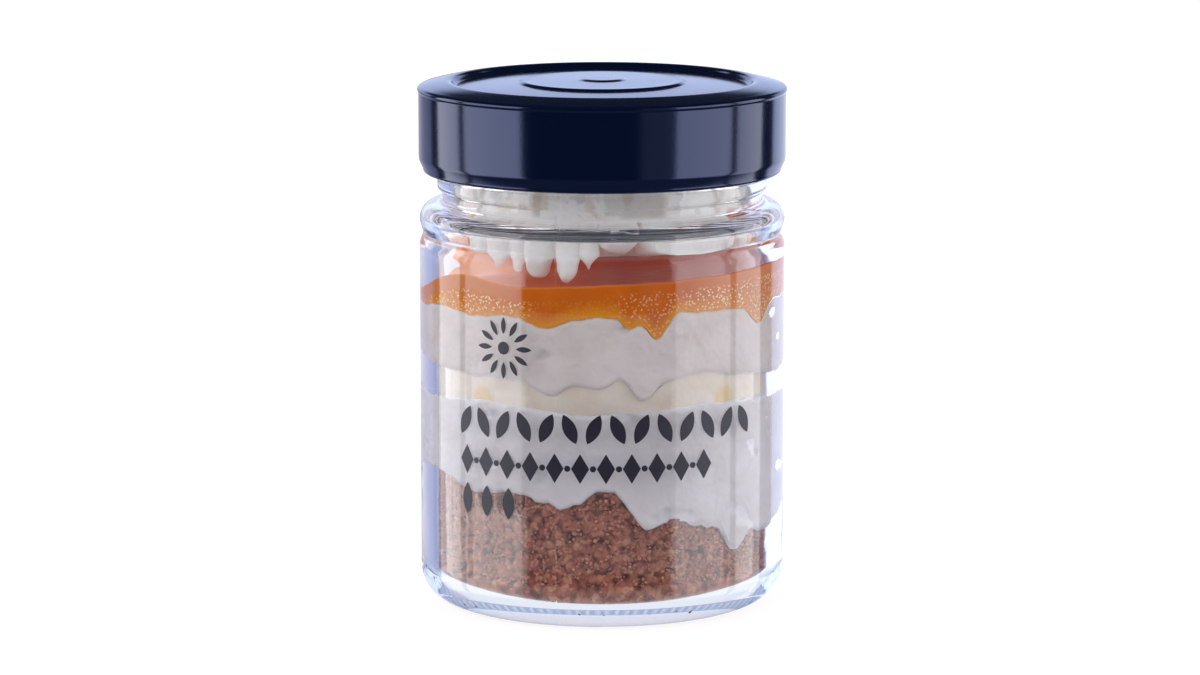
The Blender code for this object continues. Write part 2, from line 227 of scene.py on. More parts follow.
# Piped dollops of whipped cream: middle, foot level, largest radius, peak level, lean.
# Their stages give the width and height from foot to peak, as shares.
DOLLOPS = {
    "front_left": {"at": (-9.5, 4.0), "low": 71.0, "radius": 13.5, "peak": 97.0, "lean": (0, 1)},
    "back_left": {"at": (-9.0, 14.0), "low": 66.0, "radius": 16.5, "peak": 96.5, "lean": (0, -2)},
    "back_right": {"at": (16.0, 16.5), "low": 66.0, "radius": 17.0, "peak": 97.2, "lean": (-1, -2)},
    "back": {"at": (4.0, 20.0), "low": 66.0, "radius": 14.0, "peak": 95.5, "lean": (0, -2)},
}
DOLLOP_STAGES = [
    (0.0, 0.0), (0.60, 0.02), (0.74, 0.08), (0.80, 0.16), (0.88, 0.30), (0.96, 0.46),
    (1.00, 0.58), (0.93, 0.74), (0.68, 0.87), (0.30, 0.96), (0.0, 1.0),
]
RIDGES = 12
RIDGE_DEPTH = 0.14
RIDGE_TWIST = 14.0
SCALLOP = 2.5
CREAM_CEILING = 97.8

# How a lobe of cream widens upwards, as shares of its radius and height.
ROUND_TIP = [(0.0, 0.0), (0.4, 0.02), (0.85, 0.12), (1.0, 0.25), (1.0, 0.8), (0.0, 1.0)]
FINE_TIP = [(0.0, 0.0), (0.2, 0.015), (0.6, 0.07), (0.92, 0.18), (1.0, 0.3), (1.0, 0.8), (0.0, 1.0)]

# Lobes that hang down the glass: tip across and along, foot level, radius and outline.
LOBES = [
    (-23.0, -20.6, 73.0, 2.7, ROUND_TIP),
    (-19.4, -24.2, 71.6, 3.0, ROUND_TIP),
    (-16.2, -26.6, 71.3, 1.8, ROUND_TIP),
    (-12.1, -28.2, 70.5, 3.1, ROUND_TIP),
    (-6.8, -30.4, 69.6, 2.5, FINE_TIP),
    (-2.7, -30.4, 72.0, 2.2, FINE_TIP),
    (3.0, -29.5, 76.3, 4.0, ROUND_TIP),
    (16.0, -24.5, 74.2, 9.5, ROUND_TIP),
]
LOBE_PEAK = 88.0
LOBE_LEAN = -0.17

# The cream pressed into the neck.
PLUG_LOW = 82.4
PLUG_RADIUS = 31.4
PLUG_SIDES = 240

# The camera, fitted to the photograph. Its distance and target are in metres.
LENS = 153.0
CAMERA_DISTANCE = 1.038
CAMERA_ELEVATION = 9.5
CAMERA_TARGET = (-0.00045, 0.0, 0.0534)

# The studio. GLOW is the strength of the world, and each soft panel is two bands of
# azimuth with a frame between them. FLOOR_HALF is half the width of the floor.
GLOW = 3.0
LEFT_PANEL = [(-125.0, -101.5), (-96.5, -52.0)]
RIGHT_PANEL = [(47.0, 88.5), (93.5, 119.0)]
HAZE = (24.0, 47.0)
FLOOR_HALF = 4000.0

SHARP_ANGLE = math.radians(40)


class Wire:
    """An output of a shader node that can stand in sums."""

    def __init__(self, nodes, socket):
        self.nodes = nodes
        self.socket = socket

    def __add__(self, other):
        return self.nodes.sum("ADD", self, other)

    def __radd__(self, other):
        return self.nodes.sum("ADD", other, self)

    def __sub__(self, other):
        return self.nodes.sum("SUBTRACT", self, other)

    def __rsub__(self, other):
        return self.nodes.sum("SUBTRACT", other, self)

    def __mul__(self, other):
        return self.nodes.sum("MULTIPLY", self, other)

    def __rmul__(self, other):
        return self.nodes.sum("MULTIPLY", other, self)


class Nodes:
    """A node tree under construction."""

    def __init__(self, tree):
        self.tree = tree

    def add(self, kind, settings=None, sockets=None, output=0):
        """Adds a node: its settings first, then its sockets' values or wires."""
        made = self.tree.nodes.new(kind)
        for key, value in (settings or {}).items():
            if key == "stops":
                self.set_stops(made.color_ramp, value)
            else:
                setattr(made, key, value)
        for key, value in (sockets or {}).items():
            self.feed(made.inputs[key], value)
        return Wire(self, made.outputs[output])

    def feed(self, socket, value):
        if isinstance(value, Wire):
            self.tree.links.new(value.socket, socket)
        else:
            socket.default_value = value

    def set_stops(self, ramp, stops):
        while len(ramp.elements) < len(stops):
            ramp.elements.new(1.0)
        for element, (place, colour) in zip(ramp.elements, stops):
            element.position = place
            element.color = colour

    def sum(self, operation, first, second):
        return self.add("ShaderNodeMath", {"operation": operation}, {0: first, 1: second})

    def mix(self, share, first, second):
        """Blends two colours."""
        settings = {"data_type": "RGBA"}
        return self.add("ShaderNodeMix", settings, {0: share, 6: first, 7: second}, 2)

    def step(self, value, start, end):
        """0 below start and 1 above end, with a soft slope between."""
        return self.add(
            "ShaderNodeMapRange",
            {"interpolation_type": "SMOOTHSTEP"},
            {"Value": value, "From Min": start, "From Max": end},
        )

    def absolute(self, value):
        return self.add("ShaderNodeMath", {"operation": "ABSOLUTE"}, {0: value})

    def along(self, place, axis):
        """One coordinate of a place."""
        return self.add("ShaderNodeSeparateXYZ", None, {0: place}, axis)

    def measure(self, operation, first, second):
        """A number worked out from two vectors."""
        settings = {"operation": operation}
        return self.add("ShaderNodeVectorMath", settings, {0: first, 1: second}, "Value")

    def ramp(self, value, stops):
        """A colour that follows a value through (place, colour) stops."""
        return self.add("ShaderNodeValToRGB", {"stops": stops}, {0: value})

    def ray(self, kind):
        """1 for a ray of one kind, and 0 for any other."""
        return self.add("ShaderNodeLightPath", None, None, kind)

    def mix_shader(self, share, first, second):
        return self.add("ShaderNodeMixShader", None, {0: share, 1: first, 2: second})

    def noise(self, place, scale, detail=3.0, roughness=0.5):
        sockets = {"Vector": place, "Scale": scale, "Detail": detail, "Roughness": roughness}
        return self.add("ShaderNodeTexNoise", None, sockets)

    def cells(self, place, scale, output="Distance"):
        return self.add("ShaderNodeTexVoronoi", None, {"Vector": place, "Scale": scale}, output)

    def attribute(self, name):
        return self.add("ShaderNodeAttribute", {"attribute_name": name}, None, "Fac")


class Finish(Nodes):
    """A material with one Principled shader."""

    def __init__(self, name, **values):
        self.material = bpy.data.materials.new(name)
        self.material.use_nodes = True
        super().__init__(self.material.node_tree)
        self.shader = self.tree.nodes["Principled BSDF"]
        for key, value in values.items():
            self.put(key.replace("_", " ").title().replace("Ior", "IOR"), value)

    def put(self, name, value):
        """Sets or links one socket of the Principled shader."""
        self.feed(self.shader.inputs[name], value)

    def surface(self):
        return Wire(self, self.shader.outputs[0])

    def wear(self, surface):
        """Shows another surface than the Principled shader's own."""
        self.tree.links.new(surface.socket, self.tree.nodes["Material Output"].inputs["Surface"])

    def place(self):
        """The point on the piece, in millimetres."""
        point = self.add("ShaderNodeTexCoord", None, None, "Object")
        return self.add("ShaderNodeVectorMath", {"operation": "SCALE"}, {0: point, "Scale": M})

    def relief(self, height, distance, strength=1.0):
        """Bumps the surface. distance is the height of 1 in millimetres."""
        sockets = {"Height": height, "Distance": distance * MM, "Strength": strength}
        self.put("Normal", self.add("ShaderNodeBump", None, sockets))


def rgb(red, green, blue):
    """A colour given as 0 to 255 on a screen, as the linear values of a shader."""
    values = []
    for level in (red, green, blue):
        share = level / 255.0
        values.append(share / 12.92 if share <= 0.04045 else ((share + 0.055) / 1.055) ** 2.4)
    return (*values, 1.0)


def clear_glass():
    """Clear flint glass. Soft light and shadow rays go straight through it."""
    glass = Finish(
        "clear_glass",
        base_color=(0.985, 0.995, 1.0, 1.0),
        roughness=0.0,
        ior=1.5,
        transmission_weight=1.0,
    )
    place = glass.place()
    across_seam = Vector((math.cos(math.radians(SEAM)), math.sin(math.radians(SEAM)), 0.0))
    off_seam = glass.absolute(glass.measure("DOT_PRODUCT", place, across_seam))
    seam = 1.0 - glass.step(off_seam, 0.05, 0.3)
    glass.relief(glass.noise(place, 0.09, 2.0) + seam * 0.6, 0.12, 0.35)
    let_light_through(glass, (0.95, 0.965, 0.97, 1.0))
    return glass.material


def let_light_through(finish, tint):
    """Puts a clear shader in place of the surface, for shadow and diffuse rays alone."""
    surface = finish.surface()
    for kind in ("Is Shadow Ray", "Is Diffuse Ray"):
        clear = finish.add("ShaderNodeBsdfTransparent", None, {"Color": tint})
        surface = finish.mix_shader(finish.ray(kind), surface, clear)
    finish.wear(surface)


def stippled_glass_painted_glow():
    """The frosted underside, with a painted glow: its emission stands for the table's light
    scattered up through it, and is bluer at the foot.
    """
    frosted = Finish(
        "stippled_glass_painted_glow",
        base_color=rgb(140, 166, 190),
        roughness=0.6,
        emission_strength=0.85,
    )
    place = frosted.place()
    pale = frosted.mix(frosted.noise(place, 1.4), rgb(214, 224, 246), rgb(240, 244, 252))
    above_foot = frosted.step(frosted.along(place, "Z"), 0.05, 0.5)
    colour = frosted.mix(above_foot, rgb(150, 168, 204), pale)
    # Painted glow: the emission colour, bluer at the foot, stands in for light from the table.
    frosted.put("Emission Color", colour)
    return frosted.material


def navy_lacquer():
    """Near-black navy lacquer on sheet steel, satin with a faint orange peel."""
    lacquer = Finish(
        "navy_lacquer",
        base_color=(0.0004, 0.004, 0.022, 1.0),
        ior=1.52,
        specular_tint=(0.52, 0.60, 1.0, 1.0),
        specular_ior_level=0.85,
    )
    place = lacquer.place()
    patchy = lacquer.noise(place, 0.15, 4.0)
    lacquer.put("Roughness", patchy * 0.05 + 0.1)
    lacquer.relief(lacquer.noise(place, 1.6, 3.0), 0.006)
    return lacquer.material


def pale_lacquer():
    """The pale grey lacquer inside the lid."""
    lacquer = Finish("pale_lacquer", roughness=0.4, ior=1.5)
    mottled = lacquer.noise(lacquer.place(), 0.4, 3.0)
    lacquer.put("Base Color", lacquer.mix(mottled, rgb(198, 206, 222), rgb(212, 218, 230)))
    return lacquer.material


def label_film():
    """Clear film that is all but invisible, with a faint haze."""
    film = Finish(
        "label_film",
        base_color=rgb(236, 236, 242),
        roughness=0.25,
        alpha=0.015,
        specular_ior_level=0.2,
    )
    return film.material


def label_edge():
    """The film's cut edge, which catches a little more light."""
    edge = Finish("label_edge", base_color=rgb(240, 238, 244), roughness=0.3, alpha=0.35)
    return edge.material


def printing_ink():
    """Dark ink that is a little worn."""
    ink = Finish("printing_ink", roughness=0.45)
    worn = ink.noise(ink.place(), 0.5, 4.0)
    ink.put("Base Color", ink.mix(worn, rgb(30, 30, 48), rgb(52, 50, 66)))
    return ink.material


def biscuit_crumb():
    """Crushed biscuit: toasted grains from tan to dark brown, with painted black-brown shade in the
    crevices between lumps.
    """
    crumb = Finish("biscuit_crumb", roughness=0.85, specular_ior_level=0.25)
    place = crumb.place()
    tone = crumb.add("ShaderNodeSeparateColor", None, {0: crumb.cells(place, 0.85, "Color")})
    toasted = crumb.ramp(
        tone * 0.6 + crumb.noise(place, 0.22) * 0.5,
        [
            (0.0, rgb(132, 70, 60)),
            (0.35, rgb(188, 114, 96)),
            (0.7, rgb(222, 152, 124)),
            (1.0, rgb(244, 196, 166)),
        ],
    )
    # Painted shade: black-brown where the crumb lies deep between lumps.
    crack = crumb.step(crumb.attribute("crack"), 0.35, 1.0)
    # Painted light: paler towards the lit left and right sides.
    colour = painted_side_light(crumb, place, toasted)
    crumb.put("Base Color", crumb.mix(crack, colour, rgb(84, 44, 40)))
    crumb.relief(crumb.noise(place, 2.4, 4.0, 0.7), 0.25)
    return crumb.material


def painted_side_light(finish, place, colour):
    """Painted light: the biscuit is paler on the left of the jar, and a little on the right, where
    the side panels light it.
    """
    x = finish.along(place, "X")
    aside = 0.45 - 0.45 * finish.step(x, -30.0, -16.0) + finish.step(x, 18.0, 32.0) * 0.25
    return finish.mix(aside, colour, rgb(226, 176, 156))


def crumb_grain():
    """Loose grains, each with its own tone, painted darker as shade where it lies sunk in a pocket.
    """
    grain = Finish("crumb_grain", roughness=0.8, specular_ior_level=0.3)
    place = grain.place()
    toasted = grain.ramp(
        grain.attribute("tone"),
        [
            (0.0, rgb(140, 76, 62)),
            (0.4, rgb(200, 124, 102)),
            (0.75, rgb(232, 164, 134)),
            (1.0, rgb(240, 188, 156)),
        ],
    )
    # Painted light: the grains are paler towards the lit left and right sides.
    grain.put("Base Color", painted_side_light(grain, place, toasted))
    grain.relief(grain.noise(place, 3.0, 3.0, 0.7), 0.2)
    return grain.material


def cream(name, light, dark, glow=0.0, shaded_neck=False):
    """Whipped white cream with a low sheen, in two shades that drift into each other. glow is the
    strength of a painted glow in the cream's own colour, standing for light bounced round it inside
    the jar.
    """
    white = Finish(
        name,
        roughness=0.42,
        subsurface_weight=0.25,
        subsurface_scale=0.0015,
        subsurface_radius=(1.0, 0.75, 0.55),
        emission_strength=glow,
    )
    place = white.place()
    drift = white.noise(place, 0.14, 4.0)
    colour = white.mix(white.step(drift, 0.3, 0.7), light, dark)
    # Painted shade in grey and tan patches on the cream in the neck.
    if shaded_neck:
        colour = painted_neck_shade(white, place, colour)
    white.put("Base Color", colour)
    # Painted glow: the cream's colour is given off as emission, at strength glow.
    white.put("Emission Color", colour)
    swirl = white.noise(place, 0.2, 2.0)
    fine = white.noise(place, 0.8, 4.0, 0.55)
    white.relief(swirl + fine * 0.15, 1.0)
    return white.material


def painted_neck_shade(finish, place, colour):
    """Painted shade: cream in the neck is darkened in grey and tan patches, standing for the
    shadows between its piped ridges.
    """
    in_neck = finish.step(finish.along(place, "Z"), PLUG_LOW - 1.0, PLUG_LOW + 0.5)
    patch = finish.step(finish.noise(place, 0.13, 3.0, 0.6), 0.47, 0.53)
    tan = finish.step(finish.noise(place, 0.21, 2.0), 0.54, 0.66)
    colour = finish.mix(in_neck * patch * 0.6, colour, rgb(196, 190, 184))
    return finish.mix(in_neck * tan * 0.5, colour, rgb(206, 180, 150))


def cheesecake():
    """Pale yellow baked cheesecake with a few yolk-yellow places."""
    cake = Finish(
        "cheesecake",
        roughness=0.5,
        subsurface_weight=0.2,
        subsurface_scale=0.001,
        subsurface_radius=(1.0, 0.7, 0.4),
    )
    place = cake.place()
    drift = cake.noise(place, 0.2, 4.0)
    colour = cake.mix(cake.step(drift, 0.35, 0.65), rgb(247, 234, 221), rgb(240, 223, 205))
    for azimuth, height in YOLK_SPOTS:
        away = cake.measure("DISTANCE", place, at_azimuth(azimuth, INNER_RADIUS, height))
        near = 1.0 - cake.step(away + drift * 2.0, 2.6, 4.6)
        colour = cake.mix(near * 0.8, colour, rgb(240, 206, 128))
    cake.put("Base Color", colour)
    cake.relief(cake.noise(place, 0.7, 4.0, 0.6), 0.3)
    return cake.material


def fruit_curd():
    """Wet amber curd: golden where it is thin, and speckled with foam against the glass. Painted
    light makes its sides paler towards the left and right, and its top bright orange on the left,
    darkening to red-brown on the right. A painted highlight runs along its upper edge at the glass.
    """
    curd = Finish(
        "fruit_curd",
        roughness=0.3,
        specular_ior_level=0.04,
        coat_roughness=0.12,
        coat_ior=1.38,
        subsurface_weight=0.2,
        subsurface_scale=0.0015,
        subsurface_radius=(1.0, 0.35, 0.08),
    )
    place = curd.place()
    x = curd.along(place, "X")
    drift = curd.noise(place, 0.12)
    colour = curd.mix(curd.step(drift, 0.3, 0.7), rgb(212, 104, 24), rgb(222, 114, 26))
    thin = 1.0 - curd.step(curd.attribute("depth") + drift * 1.5, 0.6, 4.4)
    colour = curd.mix(thin * 0.8, colour, rgb(238, 160, 36))
    # Painted highlight: a golden line along the curd's upper edge, where the meniscus meets the
    # glass.
    rim = 1.0 - curd.step(curd.attribute("sunk"), 0.15, 0.6)
    colour = curd.mix(rim * 0.5, colour, rgb(240, 176, 80))
    # Painted light: the curd's sides are paler towards the left and right, where the side panels
    # light them.
    colour = curd.mix(0.35 - 0.35 * curd.step(x, -24.0, -15.0), colour, rgb(240, 164, 80))
    colour = curd.mix(curd.step(x, 14.0, 28.0) * 0.55, colour, rgb(238, 176, 138))
    colour = curd.mix(curd.attribute("smear") * 0.7, colour, rgb(226, 152, 112))
    # Painted light on the curd's top: bright orange on the left, where the light falls, darkening
    # to red-brown on the right.
    painted_top_light = curd.mix(curd.step(x, -26.0, -10.0), rgb(255, 156, 70), rgb(232, 98, 26))
    surface = curd.mix(curd.step(x, -9.0, 4.0), painted_top_light, rgb(206, 82, 46))
    top = curd.attribute("upward")
    colour = curd.mix(top, colour, surface)
    patches = curd.step(curd.noise(place, 0.14, 2.0), 0.25, 0.45)
    bubble = 1.0 - curd.step(curd.cells(place, 1.6), 0.2, 0.42)
    froth = bubble * curd.attribute("froth") * patches
    curd.put("Base Color", curd.mix(froth, colour, rgb(255, 236, 196)))
    curd.put("Coat Weight", top * 0.15)
    curd.relief(curd.noise(place, 0.35), 0.2)
    return curd.material


def light_table():
    """A white floor that glows, and is dimmer for the soft light that it gives back."""
    table = Finish(
        "light_table",
        base_color=(0.5, 0.5, 0.5, 1.0),
        roughness=0.9,
        specular_ior_level=0.0,
        emission_color=(1.0, 1.0, 1.0, 1.0),
        emission_strength=0.72,
    )
    rosy = (1.0, 0.95, 0.97, 1.0)
    soft = table.add("ShaderNodeEmission", None, {"Color": rosy, "Strength": 0.42})
    table.wear(table.mix_shader(table.ray("Is Diffuse Ray"), table.surface(), soft))
    return table.material


def arc(centre, radius, start, end, steps):
    """Points of a circle's arc in the (radius, height) plane, from one angle to another."""
    points = []
    for i in range(steps + 1):
        angle = math.radians(start + (end - start) * i / steps)
        points.append(
            (centre[0] + radius * math.cos(angle), centre[1] + radius * math.sin(angle))
        )
    return points


def smooth_through(points, steps):
    """Points of a smooth curve through the given ones, with steps on each stretch."""
    curve = []
    padded = [points[0], *points, points[-1]]
    for a, b, c, d in zip(padded, padded[1:], padded[2:], padded[3:]):
        for i in range(steps):
            t = i / steps
            curve.append(
                tuple(
                    0.5
                    * (
                        2.0 * q
                        + (r - p) * t
                        + (2.0 * p - 5.0 * q + 4.0 * r - s) * t**2
                        + (3.0 * q - p - 3.0 * r + s) * t**3
                    )
                    for p, q, r, s in zip(a, b, c, d)
                )
            )
    curve.append(points[-1])
    return [(max(0.0, width), height) for width, height in curve]


def radius_of(point):
    return math.hypot(point.x, point.y)


def azimuth_of(point):
    return math.degrees(math.atan2(point.x, -point.y))


def at_azimuth(azimuth, radius, height):
    angle = math.radians(azimuth)
    return Vector((radius * math.sin(angle), -radius * math.cos(angle), height))


def swing(azimuth, centre):
    """Degrees from centre to azimuth, the short way round."""
    return (azimuth - centre + 180.0) % 360.0 - 180.0


def soft_step(value, start, end):
    share = min(1.0, max(0.0, (value - start) / (end - start)))
    return share * share * (3.0 - 2.0 * share)


def piece(name, mesh, materials):
    """Turns a finished mesh in millimetres into an object in metres."""
    bmesh.ops.recalc_face_normals(mesh, faces=mesh.faces)
    bmesh.ops.transform(mesh, matrix=Matrix.Scale(MM, 4), verts=mesh.verts)
    data = bpy.data.meshes.new(name)
    mesh.to_mesh(data)
    mesh.free()
    for material in materials:
        data.materials.append(material)
    data.shade_smooth()
    data.set_sharp_from_angle(angle=SHARP_ANGLE)
    made = bpy.data.objects.new(name, data)
    bpy.context.scene.collection.objects.link(made)
    return made


def spun(outline, sides):
    """A mesh made by spinning an outline, in (radius, height), round the Z axis."""
    mesh = bmesh.new()
    corners = [mesh.verts.new((radius, 0.0, height)) for radius, height in outline]
    edges = [mesh.edges.new(pair) for pair in zip(corners, corners[1:])]
    bmesh.ops.spin(
        mesh,
        geom=corners + edges,
        cent=(0, 0, 0),
        axis=(0, 0, 1),
        angle=math.tau,
        steps=sides,
        use_merge=True,
    )
    bmesh.ops.remove_doubles(mesh, verts=mesh.verts, dist=1e-4)
    return mesh


def glass_outside():
    """Outline of the glass from the middle of its underside up to the rim."""
    heel_middle = (BODY_RADIUS - HEEL_RADIUS, HEEL_RADIUS)
    roll_middle = (BODY_RADIUS - SHOULDER_ROLL, SHOULDER_TOP - SHOULDER_ROLL)
    rim_middle = (FINISH_RADIUS - RIM_ROLL, RIM_TOP - RIM_ROLL)
    pinch = smooth_through(
        [
            (BODY_RADIUS, SHOULDER_LOW - 4.0),
            (BODY_RADIUS, SHOULDER_LOW - 2.0),
            (BODY_RADIUS - PINCH, SHOULDER_LOW),
            (BODY_RADIUS - PINCH * 0.75, SHOULDER_LOW + 0.9),
        ],
        4,
    )
    return [
        (0.0, PUNT),
        (18.0, PUNT - 0.25),
        (24.0, PUNT - 0.8),
        (FOOT_INNER - 0.6, 0.45),
        (FOOT_INNER, 0.12),
        (FOOT_INNER + 0.5, 0.0),
        (FOOT_OUTER - 0.3, 0.0),
        *arc(heel_middle, HEEL_RADIUS, -88, 0, 18),
        (BODY_RADIUS, 20.0),
        (BODY_RADIUS, 45.0),
        *pinch,
        *arc(roll_middle, SHOULDER_ROLL, -12, 96, 16),
        *arc((NECK_RADIUS + 0.7, SHOULDER_TOP + 0.7), 0.7, 250, 180, 4),
        *arc((NECK_RADIUS + 0.4, BEAD_LOW - 0.5), 0.4, 180, 120, 3),
        *arc((BEAD_RADIUS - 0.7, BEAD_LOW + 0.7), 0.7, -60, 0, 4),
        *arc((BEAD_RADIUS - 0.7, BEAD_HIGH - 0.7), 0.7, 0, 70, 4),
        (FINISH_RADIUS, BEAD_HIGH + 0.9),
        (FINISH_RADIUS, THREAD_LOW - 1.1),
        (FINISH_RADIUS + THREAD_DEPTH * 0.7, THREAD_LOW - 0.5),
        (FINISH_RADIUS + THREAD_DEPTH, THREAD_LOW),
        (FINISH_RADIUS + THREAD_DEPTH * 0.7, THREAD_LOW + 0.5),
        (FINISH_RADIUS, THREAD_LOW + 1.1),
        *arc(rim_middle, RIM_ROLL, 0, 180, 10),
    ]


def glass_inside():
    """Outline of the inside wall, from the mouth down to the middle of the floor."""
    corner_middle = (INNER_RADIUS - FLOOR_CORNER, FLOOR_HEIGHT + FLOOR_CORNER)
    shoulder = smooth_through(
        [
            (MOUTH_RADIUS, SHOULDER_TOP + 2.4),
            (MOUTH_RADIUS, LEDGE + 1.9),
            (MOUTH_RADIUS + 0.1, LEDGE + 1.0),
            (MOUTH_RADIUS + 0.5, LEDGE + 0.45),
            (MOUTH_RADIUS + 1.2, LEDGE + 0.1),
            (INNER_RADIUS - 1.2, LEDGE - 0.4),
            (INNER_RADIUS - 0.35, LEDGE - 0.78),
            (INNER_RADIUS - 0.05, LEDGE - 1.15),
            (INNER_RADIUS, LEDGE - 2.2),
        ],
        4,
    )
    return [
        *shoulder,
        (INNER_RADIUS, 45.0),
        (INNER_RADIUS, 20.0),
        *arc(corner_middle, FLOOR_CORNER, 0, -90, 14),
        (20.0, FLOOR_HEIGHT + FLOOR_CROWN * 0.4),
        (10.0, FLOOR_HEIGHT + FLOOR_CROWN * 0.85),
        (0.0, FLOOR_HEIGHT + FLOOR_CROWN),
    ]


def inside_radius(height):
    """Radius of the inside wall at a height above the floor's corner."""
    wall = [p for p in glass_inside() if p[1] > FLOOR_HEIGHT + FLOOR_CORNER - 0.01]
    if height >= wall[0][1]:
        return MOUTH_RADIUS
    for upper, lower in zip(wall, wall[1:]):
        if lower[1] <= height <= upper[1]:
            share = (height - lower[1]) / (upper[1] - lower[1])
            return lower[0] + share * (upper[0] - lower[0])
    return INNER_RADIUS


def floor_level(radius):
    """Height of the glass floor's upper face at that radius."""
    corner_start = INNER_RADIUS - FLOOR_CORNER
    if radius <= corner_start:
        return FLOOR_HEIGHT + FLOOR_CROWN * (1.0 - radius / corner_start)
    past = min(radius - corner_start, FLOOR_CORNER)
    return FLOOR_HEIGHT + FLOOR_CORNER - math.sqrt(FLOOR_CORNER**2 - past**2)


def threaded(point):
    """Turns the ring on the finish into short slanting threads that fade at both ends."""
    azimuth = azimuth_of(point)
    turns = (azimuth - THREAD_FIRST) / 360.0
    share = (turns * THREAD_STARTS) % 1.0
    fade = min(1.0, 8.0 * min(share, 1.0 - share))
    radius = FINISH_RADIUS + (radius_of(point) - FINISH_RADIUS) * fade
    return at_azimuth(azimuth, radius, point.z + THREAD_RISE * share)


def glass_jar(clear, stippled):
    """The jar, with its threads, its knurled foot and its stippled underside."""
    mesh = spun(glass_outside() + glass_inside(), GLASS_SIDES)
    for face in mesh.faces:
        middle = face.calc_center_median()
        underneath = middle.z < STIPPLE_TOP and radius_of(middle) < STIPPLE_RADIUS
        face.material_index = int(underneath)
    for vertex in mesh.verts:
        radius = radius_of(vertex.co)
        if abs(vertex.co.z - THREAD_LOW) < 1.2 and radius > FINISH_RADIUS - 0.1:
            vertex.co = threaded(vertex.co)
        elif vertex.co.z < 0.05 and radius > FOOT_INNER:
            notch = 0.5 - 0.5 * math.cos(math.radians(azimuth_of(vertex.co)) * KNURLS)
            vertex.co.z += KNURL_DEPTH * notch
    return piece("jar_glass", mesh, [clear, stippled])


def lid_outline():
    """Outline of the lid: over its top, down its skirt, round the curl and back inside."""
    plateau = LID_TOP - PLATEAU_DROP
    panel = LID_TOP - PANEL_DROP
    crest = LID_TOP - CREST_DROP
    top = smooth_through(
        [
            (0.0, LID_TOP - 0.03),
            (BUTTON_RADIUS - 0.8, LID_TOP - 0.03),
            (BUTTON_RADIUS, LID_TOP - 0.09),
            (BUTTON_RADIUS + 0.9, LID_TOP - 0.28),
            (BUTTON_RADIUS + 2.2, LID_TOP - 0.34),
            (PLATEAU_RADIUS - 1.6, plateau),
            (PLATEAU_RADIUS - 0.6, plateau + 0.02),
            (PLATEAU_RADIUS, plateau - 0.06),
            (PLATEAU_RADIUS + 0.7, plateau - 0.42),
            (PLATEAU_RADIUS + 1.5, plateau - 0.5),
            (24.0, panel + 0.3),
            (PANEL_RADIUS - 1.2, panel),
            (PANEL_RADIUS - 0.1, panel),
            (PANEL_RADIUS + 0.5, panel + 0.35),
            (PANEL_RADIUS + 0.9, panel + 0.95),
            (CREST_RADIUS - 0.5, crest - 0.1),
            (CREST_RADIUS, crest),
            (CREST_RADIUS + 0.8, crest - 0.04),
            (34.4, crest - 0.5),
            (36.0, crest - 0.9),
            (LID_RADIUS - 0.5, crest - 1.15),
            (LID_RADIUS - 0.12, crest - 1.45),
            (LID_RADIUS - 0.02, crest - 1.85),
            (SKIRT_RADIUS + 0.1, crest - 2.1),
            (SKIRT_RADIUS, crest - 2.35),
            (SKIRT_RADIUS, crest - 2.6),
            (SKIRT_RADIUS, crest - 3.4),
        ],
        4,
    )
    curl = [
        (SKIRT_RADIUS, LID_LOW + 3.2),
        (SKIRT_RADIUS - 0.1, LID_LOW + 2.4),
        (SKIRT_RADIUS - 0.85, LID_LOW + 0.8),
        *arc((SKIRT_RADIUS - 1.45, LID_LOW + 0.6), 0.6, 0, -180, 8),
        (SKIRT_RADIUS - 1.85, LID_LOW + 1.3),
    ]
    under = plateau - 0.5 - SHEET
    inside = [
        (SKIRT_RADIUS - SHEET, LID_LOW + 2.6),
        (SKIRT_RADIUS - SHEET, LID_TOP - 3.2),
        (SKIRT_RADIUS - SHEET - 0.8, RIM_TOP + GAP),
        (PANEL_RADIUS + 0.7, RIM_TOP + GAP),
        (PANEL_RADIUS - 0.2, panel - SHEET),
        (PANEL_RADIUS - 1.4, panel - SHEET),
        (PLATEAU_RADIUS + 1.0, under),
        (0.0, under),
    ]
    return top + curl + inside


def screw_lid(outside, inside):
    """The lid, pale inside, with its curled edge drawn in to form the lugs."""
    mesh = spun(lid_outline(), LID_SIDES)
    bmesh.ops.recalc_face_normals(mesh, faces=mesh.faces)
    for face in mesh.faces:
        middle = face.calc_center_median()
        sheltered = LID_LOW + 1.5 < middle.z and radius_of(middle) < SKIRT_RADIUS - 0.6
        below_panel = middle.z < LID_TOP - PANEL_DROP - 0.3
        face.material_index = int(sheltered and (below_panel or face.normal.z < -0.3))
    for vertex in mesh.verts:
        radius = radius_of(vertex.co)
        if vertex.co.z < LID_LOW + 1.35 and radius < SKIRT_RADIUS - 1.5:
            azimuth = azimuth_of(vertex.co)
            nearest = round(azimuth / (360.0 / LUGS)) * 360.0 / LUGS
            share = max(0.0, 1.0 - (swing(azimuth, nearest) / LUG_HALF_WIDTH) ** 2)
            vertex.co = at_azimuth(azimuth, radius - LUG_REACH * share, vertex.co.z)
    return piece("lid_shell", mesh, [outside, inside])


